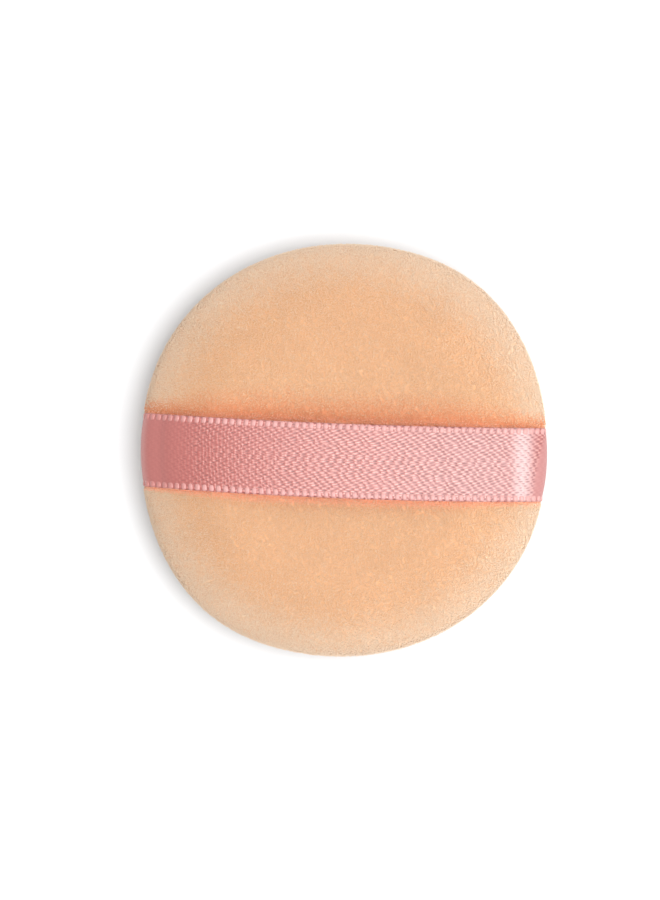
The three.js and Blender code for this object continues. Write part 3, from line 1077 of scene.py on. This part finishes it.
def short_dashes(flat_place, place, phase=0.0):
    """1 in a short tilted dash in each cell of the weave, and 0 between the dashes."""
    along, across, chance = place_in_float(flat_place, place, phase)
    off_level = chance - 0.5
    long_share = along / GAP_LENGTH_SHARE
    wide_share = (across + along * off_level * GAP_TILT) / GAP_WIDTH_SHARE
    way_out = maths("SQRT", long_share * long_share + wide_share * wide_share)
    return eased(way_out, GAP_CORE, 1.0, 1.0, 0.0) * (1.0 - abs(off_level) * (2 * UNEVENNESS))


def weft_ribs(flat_place, place):
    """How dark the crossing yarns are painted where they show through the floats: painted shade, deepest at
    the left, where the light is low.
    """
    turns = split(flat_place)[0] * (RIBBON_LENGTH / RIB_PITCH) + noise(place, WAVE_SIZE)
    wave = maths("COSINE", turns * (2 * math.pi)) * 0.5 + 0.5
    return wave * eased(split(place)[0], RIBS_FADE, 0.0, RIB_DEPTH_LEFT, RIB_DEPTH_RIGHT)


print("weave ready")

# %% The satin's material
CREASE_PLACE = 24.2 * MM  # along X, where the cloth starts to bend down
CREASE_CORE = 0.2 * MM
CREASE_WIDTH = 2.2 * MM
# How strong the painted highlight is at its core.
CREASE_HIGHLIGHT_PEAK = 0.8
RIGHT_FOLD = 25.5 * MM  # at the ribbon's lower edge
FOLD_CURVE = 0.0207 / MM  # how it runs off towards the upper corner
FOLD_SOFTNESS = 0.3 * MM  # half the stretch over which the look changes
LEFT_FOLD = -25.5 * MM
WEAVE_SHOWS = -18 * MM  # from here on the weave shows fully
CREST_SHOWS = 5 * MM  # and from here on its crests do
# How much of the crests' painted highlight is left at the left end, where the light is low.
CREST_LEAST = 0.35
FOLD_HIDES = 0.85  # how much of the weave a fold hides
# How much of the weave the painted highlight hides.
HIGHLIGHT_HIDES = 0.3


def satin_sheen(x, gap):
    """The tint of the reflection."""
    towards_right = eased(x, 0.0, SHEEN_TURNS, 0.0, 1.0)
    left_half = mixed(eased(x, -SHEEN_TURNS, 0.0, 0.0, 1.0), SHEEN_LEFT, SHEEN_MIDDLE)
    lost = towards_right * (GAP_SHADE_RIGHT - GAP_SHADE_LEFT) + GAP_SHADE_LEFT
    return mixed(gap * lost, mixed(towards_right, left_half, SHEEN_RIGHT), SHEEN_IN_GAPS)


def satin_material():
    gloss = {"Anisotropic": 0.5, "Anisotropic_Rotation": 0.25, "IOR": 2.2, "Specular_IOR_Level": 0.7}
    material, tree, shader = new_material("satin ribbon", SATIN_CREST_HIGHLIGHT, roughness=0.46, **gloss)
    flat_place = signal(tree, "ShaderNodeUVMap", {"uv_map": "OFBake"}, "UV")
    place = object_place(tree)
    x, y, _ = split(place)
    # A painted highlight across the ribbon where it starts to bend down.
    crease_highlight = eased(abs(x - CREASE_PLACE), CREASE_CORE, CREASE_WIDTH, CREASE_HIGHLIGHT_PEAK, 0.0)
    up = y + (RIBBON_WIDTH / 2 - RIGHT_OFFSET)
    past_fold = x - (up * up * FOLD_CURVE + RIGHT_FOLD)
    right_fold = eased(past_fold, -FOLD_SOFTNESS, FOLD_SOFTNESS, 0.0, 1.0)
    # Painted shade where the ribbon folds down at either end; it also hides the weave there.
    fold_shade = eased(x, LEFT_FOLD, WEAVE_SHOWS, 1.0, 0.0) + right_fold
    open_weave = 1.0 - larger(fold_shade * FOLD_HIDES, crease_highlight * HIGHLIGHT_HIDES)
    gap = short_dashes(flat_place, place) * open_weave
    # The crests get a painted highlight, weaker towards the left.
    crest = short_dashes(flat_place, place, CREST_SHIFT_SHARE) * open_weave
    crest = crest * eased(x, LEFT_FOLD, CREST_SHOWS, CREST_LEAST, 1.0)
    # The gaps and ribs are painted dark as shade.
    dark = larger(gap, weft_ribs(flat_place, place) * open_weave)
    ground = mixed(fold_shade, mixed(crease_highlight, SATIN_PINK, SATIN_CREASE_HIGHLIGHT), SATIN_FOLD_SHADE)
    tint = mixed(dark, mixed(crest, ground, SATIN_CREST_HIGHLIGHT), SATIN_GAP_SHADE)
    is_back = maths("GREATER_THAN", split(flat_place)[1], MAP_MIDDLE)
    add_pattern(shader, mixed(is_back, tint, SATIN_BACK), crest - dark, strength=0.7, depth=0.06 * MM)
    set_input(tree, shader.inputs["Specular Tint"], satin_sheen(x, gap))
    tangent = signal(tree, "ShaderNodeTangent", {"direction_type": "UV_MAP", "uv_map": "OFBake"})
    set_input(tree, shader.inputs["Tangent"], tangent)
    return material


satin = satin_material()
ribbon.data.materials.append(satin)
print("satin of", len(satin.node_tree.nodes), "nodes")

# %% [markdown]
# ## The woven edge
#
# Along both edges the weft turns back, which leaves a row of small plump loops that lean a little. They are
# all alike, so one loop is modelled and Geometry Nodes set it on every point of a row. The points know
# which way the ribbon runs and which way its face looks, because both directions are stored on them.

# %% One row of points per edge
LOOP_PITCH = 0.98 * MM
LOOP_LENGTH = 0.94 * MM  # across the ribbon
LOOP_WIDTH = 0.76 * MM
LOOP_HEIGHT = 0.38 * MM
LOOP_SLANT = math.radians(-8)
LOOP_SQUARENESS = 4  # 2 would make an egg of it, and a higher power makes a box
LOOP_DROP = 0.8 * CROSS_CROWN  # how far the loops lie under the ribbon's middle line
A_LITTLE = 0.1 * MM  # how far over a point a second one is, to find the way out of the ribbon
HALF_A_ROW = 0.5  # and how far ahead one is, to find the way along it


def loop_rows():
    count = int(RIBBON_LENGTH / LOOP_PITCH)
    rows = (np.arange(count) + 1 / 2) * LOOP_PITCH / RIBBON_LENGTH * RIBBON_STEPS
    places, alongs, outs = [], [], []
    for edge in (-1, 1):
        across, low = np.full(count, edge * (RIBBON_WIDTH - LOOP_LENGTH) / 2), np.full(count, -LOOP_DROP)
        here = on_ribbon(rows, across, low)
        along = unit(on_ribbon(rows + HALF_A_ROW, across, low) - here)
        out = unit(on_ribbon(rows, across, low + A_LITTLE) - here)
        places.append(here)
        alongs.append(along * math.cos(LOOP_SLANT) + np.cross(out, along) * math.sin(LOOP_SLANT) * edge)
        outs.append(out)
    return np.vstack(places), np.vstack(alongs), np.vstack(outs)


loop_places, loop_alongs, loop_outs = loop_rows()
loop_points = new_object("loop_points", loop_places)
for name, values in (("loop_along", loop_alongs), ("loop_out", loop_outs)):
    directions = loop_points.data.attributes.new(name, "FLOAT_VECTOR", "POINT")
    directions.data.foreach_set("vector", values.ravel())
print(len(loop_places), "loops on the two edges")

# %% Geometry Nodes for the loops
LEAST_LOOP_WIDTH = 0.85  # of a whole one


def loop_tree():
    sizes = ("Length", "Width", "Height", "Squareness")
    tree, given = new_tree("Loops on points", sizes, Seed="Int", Material="Material")
    box_shape = {"Size": (1, 1, 1), "Vertices_X": 4, "Vertices_Y": 4, "Vertices_Z": 3}
    box = signal(tree, "GeometryNodeMeshCube", out="Mesh", **box_shape)
    corner = signal(tree, "GeometryNodeInputPosition")
    x, y, z = (part ** given["Squareness"] for part in split(vectors("ABSOLUTE", corner)))
    reach = (x + y + z) ** (-1.0 / given["Squareness"])
    loop = signal(tree, "GeometryNodeSetPosition", Geometry=box, Position=scaled(corner, reach * 0.5))
    along, out = (stored(tree, name, "FLOAT_VECTOR") for name in ("loop_along", "loop_out"))
    align = "FunctionNodeAlignRotationToVector"
    facing = signal(tree, align, {"axis": "Z"}, Vector=out)
    turned = signal(tree, align, {"axis": "X", "pivot_axis": "Z"}, Rotation=facing, Vector=along)
    width = given["Width"] * by_lot(tree, LEAST_LOOP_WIDTH, 1.0, given["Seed"])
    placed = copies(given["Geometry"], loop, turned, width, given["Length"], given["Height"])
    return end_tree(placed, given["Material"])


LOOP_TREE = loop_tree()
print("loop tree of", len(LOOP_TREE.nodes), "nodes")

# %% The loops' material and the loops
LOOP_PALE = (0.60, 0.30, 0.28)
LOOP_SHADED = (0.42, 0.16, 0.145)
# Painted shade on the loops towards the left end, where the ribbon folds down.
LOOP_FOLD_SHADE = (0.44, 0.14, 0.12)
LOOP_FOLD_SHADE_SHARE = 0.8
YARN_SIZE = 0.12 * MM
YARN_STRETCH = (1, 0.25, 1)  # the loops' yarns run across the ribbon


def selvedge_material():
    material, tree, shader = new_material("selvedge", LOOP_PALE, roughness=0.45, Sheen_Weight=0.2, IOR=1.8)
    place = object_place(tree)
    yarns = noise(vectors("MULTIPLY", place, YARN_STRETCH), YARN_SIZE, detail=2.0)
    # The loops are painted darker towards the left end: painted shade.
    fold_shade = eased(split(place)[0], LEFT_FOLD, WEAVE_SHOWS, LOOP_FOLD_SHADE_SHARE, 0.0)
    tint = mixed(fold_shade, mixed(yarns, LOOP_SHADED, LOOP_PALE), LOOP_FOLD_SHADE)
    add_pattern(shader, tint, yarns, strength=0.5, depth=0.04 * MM)
    return material


loop_shape = {"Length": LOOP_LENGTH, "Width": LOOP_WIDTH, "Height": LOOP_HEIGHT}
loop_shape |= {"Squareness": LOOP_SQUARENESS, "Seed": 1}
selvedge = grown(loop_points, "ribbon_edges", LOOP_TREE, **loop_shape, Material=selvedge_material())
bpy.data.objects.remove(loop_points)

# %% [markdown]
# ## The pile
#
# Velour is thousands of cut fibres standing on the cloth, and at this size one sees them: as a fuzzy rim,
# a faint mottle, and a bloom of light at the edges. Blender's hair could draw them, but hair is no mesh
# and gets lost on the way to other programs. So the pile is real geometry. Each fibre is a closed shape
# of four faces, thin where it leaves the cloth and blunt where it was cut, and Geometry Nodes plant them
# at random over the skin. One noise leans neighbours the same way in tufts, a slower one leans whole
# patches as a hand brushes them, and chance leans each fibre a little more. Fibres are kept short of the
# ribbon, the table and the other cover, where the pile is pressed down.
#
# The pile is painted paler round the rim as a painted sheen, deeper beside the ribbon as the ribbon's
# painted shadow, and brighter right along its edge as painted light. Four tints do that. Each fibre has one
# plain colour, and how likely each tint is changes from place to place, so the change is soft, and it
# survives in any program that reads the model.

# %% Plan of the pile
FIBRES_PER_MM2 = 72
FIBRE_LENGTH = 0.34 * MM
FIBRE_WIDTH = 0.12 * MM
SHORTEST_FIBRE = 0.08 * MM
RIBBON_CLEARANCE = 0.05 * MM
LENGTH_SHARES = (0.75, 1.05)  # the shortest and the longest where nothing is in their way
CLUMP_SIZE = 0.5 * MM
CLUMP_LEAN = 0.6
NAP_LEAN = 0.25
STRAY_LEAN = 0.25
PILE_SECTORS = 6
TIP_PALENESS = 0.25  # 1 for a fibre alone, 0 for the colour of the mass


def fibre_material(name, tint):
    """A fibre is paler than the pile looks, because light takes on more colour at every bounce."""
    alone = [1 - ((1 - x) / (1 + x)) ** 2 for x in tint]
    colour = [x + (y - x) * TIP_PALENESS for x, y in zip(tint, alone)]
    return new_material("velour pile, " + name, colour, roughness=0.85, **PILE_SHEEN)[0]


# Pale, Deep and Lit are the painted sheen, the ribbon's painted shadow and the painted light.
TINTS = {"Warm": PILE_WARM, "Pale": PILE_PAINTED_SHEEN, "Deep": PILE_PAINTED_SHADOW, "Lit": PILE_PAINTED_LIGHT}
FIBRE_MATERIALS = {name: fibre_material(name.lower(), tint) for name, tint in TINTS.items()}
print("about", round(math.pi * (PAD_RADIUS / MM) ** 2 * FIBRES_PER_MM2), "fibres on each face")


# %% How fibres lean, and how long they are
def noise_lean(place, size, amount):
    """A sideways push that changes smoothly from place to place."""
    return scaled(vectors("SUBTRACT", noise(place, size, out="Color"), (0.5, 0.5, 0.5)), amount)


def leaning(place, normal, given):
    """Each fibre's direction."""
    tree = place.tree
    stray = add_node(tree, "FunctionNodeRandomValue", {"data_type": "FLOAT_VECTOR"}, Seed=given["Seed"])
    stray.inputs[0].default_value, stray.inputs[1].default_value = (-1, -1, -1), (1, 1, 1)
    lean = vectors(
        "ADD",
        noise_lean(place, given["Clump size"], given["Clump lean"]),
        noise_lean(place, given["Nap size"], given["Nap lean"]),
    )
    lean = vectors("ADD", lean, scaled(Signal(tree, stray.outputs[0]), given["Stray lean"]))
    upright = vectors("ADD", lean, normal)
    return signal(tree, "FunctionNodeAlignRotationToVector", {"axis": "Z"}, Vector=upright)


def fibre_length(place, given):
    """As long as wanted, but short of the ribbon, the table and the other cover."""
    tree, height = place.tree, split(place)[2]
    ribbon_shape = signal(tree, "GeometryNodeObjectInfo", out="Geometry", Object=given["Ribbon"])
    to_ribbon = signal(tree, "GeometryNodeProximity", out="Distance", Geometry=ribbon_shape)
    to_seam = abs(height - given["Seam height"])
    room = smaller(smaller(to_ribbon - RIBBON_CLEARANCE, to_seam), height)
    wanted = given["Length"] * by_lot(tree, *LENGTH_SHARES, given["Seed"])
    return larger(smaller(wanted, room), SHORTEST_FIBRE)


def by_chance(likelihood, seed):
    """True for as large a share of the points as likelihood says."""
    inputs = {"Probability": likelihood, "Seed": seed}
    return signal(likelihood.tree, "FunctionNodeRandomValue", {"data_type": "BOOLEAN"}, 3, **inputs)


print("pile helpers ready")

# %% Geometry Nodes for the pile
PILE_SIZES = {
    "Density": FIBRES_PER_MM2 / MM**2,
    "Length": FIBRE_LENGTH,
    "Width": FIBRE_WIDTH,
    "Clump_size": CLUMP_SIZE,
    "Clump_lean": CLUMP_LEAN,
    "Nap_size": NAP_SIZE,
    "Nap_lean": NAP_LEAN,
    "Stray_lean": STRAY_LEAN,
    "Seam_height": SEAM_HEIGHT,
    "Pad_radius": PAD_RADIUS,
    "Rim_start": RIM_START,
    "Deep_reach": DEEP_REACH,
    "Lit_reach": LIT_REACH,
}
BLUNT_FIBRE = {"Vertices": 3, "Side_Segments": 1, "Fill_Segments": 1}
BLUNT_FIBRE |= {"Radius_Top": 0.5, "Radius_Bottom": 0.0, "Depth": 1.0}


def pile_tree():
    materials = dict.fromkeys(TINTS, "Material")
    tree, given = new_tree("Pile on cloth", PILE_SIZES, Seed="Int", Ribbon="Object", **materials)
    inputs = {"Mesh": given["Geometry"], "Density": given["Density"], "Seed": given["Seed"]}
    scattered = add_node(tree, "GeometryNodeDistributePointsOnFaces", **inputs)
    points, normal = (Signal(tree, scattered.outputs[name]) for name in ("Points", "Normal"))
    place = signal(tree, "GeometryNodeInputPosition")
    fibre = signal(tree, "GeometryNodeMeshCone", out="Mesh", **BLUNT_FIBRE)
    width, length = given["Width"], fibre_length(place, given)
    marked = copies(points, fibre, leaning(place, normal, given), width, width, length)
    reaches = [given[name] for name in ("Pad radius", "Rim start", "Deep reach", "Lit reach")]
    # Each fibre draws the painted sheen, painted shadow or painted light tint by chance.
    for name, likelihood in zip(("is_pale", "is_deep", "is_lit"), tint_shares(place, *reaches)):
        settings = {"data_type": "BOOLEAN", "domain": "INSTANCE"}
        inputs = {"Geometry": marked, "Name": name, "Value": by_chance(likelihood, given["Seed"])}
        marked = signal(tree, "GeometryNodeStoreNamedAttribute", settings, **inputs)
    return end_tree(marked, given["Warm"], is_pale=given["Pale"], is_deep=given["Deep"], is_lit=given["Lit"])


PILE_TREE = pile_tree()
print("pile tree of", len(PILE_TREE.nodes), "nodes")


# %% Plant the pile, sector by sector
def skin_sectors(cover):
    """The smoothed skin of a cover, cut like a cake."""
    mesh = as_it_looks(cover)
    points = np.array([v.co[:] for v in mesh.vertices])
    flags = np.array([flag.value for flag in mesh.attributes["is_skin"].data])
    faces = np.array([p.vertices[:] for p in mesh.polygons])[flags > 0.5]
    bpy.data.meshes.remove(mesh)
    middle = points[faces].mean(axis=1)
    turn = np.arctan2(middle[:, 1], middle[:, 0]) % (2 * math.pi)
    sector = (turn / (2 * math.pi) * PILE_SECTORS).astype(int) % PILE_SECTORS
    return points, [faces[sector == k] for k in range(PILE_SECTORS)]


def plant_pile(cover, name):
    points, sectors = skin_sectors(cover)
    pieces = []
    for number, faces in enumerate(sectors, start=1):
        used, renumbered = np.unique(faces, return_inverse=True)
        cloth = new_object("cloth_to_plant", points[used], renumbered.reshape(faces.shape))
        inputs = {**PILE_SIZES, "Seed": number, "Ribbon": ribbon, **FIBRE_MATERIALS}
        pieces.append(grown(cloth, f"{name}_{number}", PILE_TREE, **inputs))
        bpy.data.objects.remove(cloth)
    return pieces


back_pile = plant_pile(back_velour, "back_pile")
front_pile = plant_pile(front_velour, "front_pile")

# %% [markdown]
# ## Needle holes
#
# Thread can't pass through cloth without a hole. Dark dots could stand in for holes, but here each piece
# can be taken out and looked at, so the holes are cut. A box on each point of the seam stands for the room
# that the needle leaves, and all of them together are cut out of both covers and out of the ribbon's
# tails. The covers are pierced after the pile is planted, because it only needs their smooth outer skin.

# %% Geometry Nodes for the holes
HOLE_WIDTH = 2 * (HOOK_SPREAD + THREAD_RADIUS + THREAD_GAP)
HOLE_LENGTH = 2 * (HOOK_REACH + THREAD_RADIUS + THREAD_GAP)
HOLE_HEIGHT = 2 * (ALLOWANCE_TOP + THREAD_GAP)


def hole_tree():
    sizes = ("Width", "Length", "Height")
    tree, given = new_tree("Needle holes", sizes, Holes="Object", Material="Material")
    points = signal(tree, "GeometryNodeObjectInfo", out="Geometry", Object=given["Holes"])
    turn = signal(tree, "ShaderNodeCombineXYZ", Z=stored(tree, "hole_turn", "FLOAT"))
    box = signal(tree, "GeometryNodeMeshCube", out="Mesh", Size=(1, 1, 1))
    placed = copies(points, box, turn, given["Width"], given["Length"], given["Height"])
    boxes = signal(tree, "GeometryNodeRealizeInstances", Geometry=placed)
    settings = {"operation": "DIFFERENCE", "solver": "EXACT"}
    inputs = {"Mesh_1": given["Geometry"], "Mesh_2": boxes}
    cut = signal(tree, "GeometryNodeMeshBoolean", settings, "Mesh", **inputs)
    return end_tree(cut, given["Material"], smooth=False)


HOLE_TREE = hole_tree()
print("holes of", in_mm(HOLE_WIDTH), "by", in_mm(HOLE_LENGTH), "mm")


# %% Pierce the covers and the ribbon's tails
def place_holes():
    holes = new_object("hole_places", draw_to_outline([beside_hole(k, 0, 0, 0) for k in range(STITCH_COUNT)]))
    turns = holes.data.attributes.new("hole_turn", "FLOAT", "POINT")
    turns.data.foreach_set("value", SEAM_START + np.arange(STITCH_COUNT) * STITCH_TURN)
    return holes


def pierced(whole, holes):
    name, material = whole.name, whole.data.materials[0]
    whole.name = name + "_whole"
    sizes = {"Width": HOLE_WIDTH, "Length": HOLE_LENGTH, "Height": HOLE_HEIGHT}
    cut = grown(whole, name, HOLE_TREE, Holes=holes, Material=material, **sizes)
    bpy.data.objects.remove(whole)
    return cut


hole_places = place_holes()
whole_cloths = (back_velour, front_velour, ribbon)
back_velour, front_velour, ribbon = (pierced(cloth, hole_places) for cloth in whole_cloths)
bpy.data.objects.remove(hole_places)

# %% [markdown]
# ## Camera, floor and light
#
# The photograph looks straight down with a long lens on a white table. A broad soft light comes from the
# lower right, so the rim at the left and the cloth above the ribbon fall into a gentle shade. The view
# transform is the plain one, because the table is meant to wash out to white.

# %% Camera straight above
PICTURE_SCALE = 7.385  # pixels to a millimetre on the pad
PICTURE_SIZE = (660, 900)
PAD_PIXEL = (344.0, 450.2)  # the pad's middle in the picture
CAMERA_DISTANCE = 600 * MM
PIXEL = MM / PICTURE_SCALE

camera_data = bpy.data.cameras.new("camera")
camera = add_object("camera", camera_data)
bpy.context.scene.camera = camera
right, down = (PAD_PIXEL[0] - PICTURE_SIZE[0] / 2) * PIXEL, (PAD_PIXEL[1] - PICTURE_SIZE[1] / 2) * PIXEL
camera.location = (-right, down, SEAM_HEIGHT + CAMERA_DISTANCE)
camera_data.lens = camera_data.sensor_width * CAMERA_DISTANCE / (PICTURE_SIZE[1] * PIXEL)
camera_data.clip_start = 10 * MM
print("lens", round(camera_data.lens), "mm")

# %% Floor
FLOOR_REACH = 2  # metres to each side
TABLE_WHITE = (0.75, 0.755, 0.765)

floor_corners = [(x * FLOOR_REACH, y * FLOOR_REACH, 0) for x, y in ((-1, -1), (1, -1), (1, 1), (-1, 1))]
floor = new_object("floor", floor_corners, [(0, 1, 2, 3)])
floor.data.materials.append(new_material("white table", TABLE_WHITE, roughness=0.9)[0])
print("floor", 2 * FLOOR_REACH, "m across")

# %% Lights
ROOM_DIM = 0.7
ROOM_BRIGHT = 1.5
ROOM_TURNS = (-0.35, 0.9)  # where the walls start to brighten and where they are brightest
TO_BRIGHT_SIDE = (0.7, 0.48, 0.5)


def soft_light(name, azimuth, elevation, distance, size, power):
    """A square light that looks at the pad. Azimuth 0 is the picture's right, 90 its top."""
    data = bpy.data.lights.new(name, "AREA")
    data.size = size
    data.energy = power
    light = add_object(name, data)
    a, e = math.radians(azimuth), math.radians(elevation)
    away = np.array([math.cos(a) * math.cos(e), math.sin(a) * math.cos(e), math.sin(e)])
    light.location = away * distance
    light.rotation_euler = (math.pi / 2 - e, 0, a + math.pi / 2)


def studio_room():
    """White walls all round, brighter towards one side."""
    world = bpy.data.worlds.new("studio")
    world.use_nodes = True
    tree = world.node_tree
    direction = signal(tree, "ShaderNodeTexCoord", out="Generated")
    towards = add_node(tree, "ShaderNodeVectorMath", {"operation": "DOT_PRODUCT"})
    set_input(tree, towards.inputs[0], direction)
    towards.inputs[1].default_value = TO_BRIGHT_SIDE
    strength = eased(Signal(tree, towards.outputs["Value"]), *ROOM_TURNS, ROOM_DIM, ROOM_BRIGHT)
    background = tree.nodes["Background"]
    background.inputs["Color"].default_value = (1, 1, 1, 1)
    set_input(tree, background.inputs["Strength"], strength)
    return world


soft_light("key", azimuth=-31, elevation=64, distance=0.6, size=0.55, power=3.25)
bpy.context.scene.world = studio_room()
bpy.context.scene.view_settings.view_transform = "Standard"
print("lights ready")

# %% [markdown]
# ## Hand over
#
# Last, every piece is tied to the model's one body, and the part of the model that it stands for is hidden.

# %% Tie the pieces to the model
for piece, node in (
    (back_velour, "back_cover"),
    (front_velour, "front_cover"),
    (ribbon, "ribbon_strap"),
    (foam_disc, "foam_core"),
    (upper_thread, "needle_thread"),
    (lower_thread, "bobbin_thread"),
    (ladder_thread, "closing_thread"),
):
    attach(piece, "root")
    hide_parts(node)
for piece in (*back_pile, *front_pile, selvedge):
    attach(piece, "root")
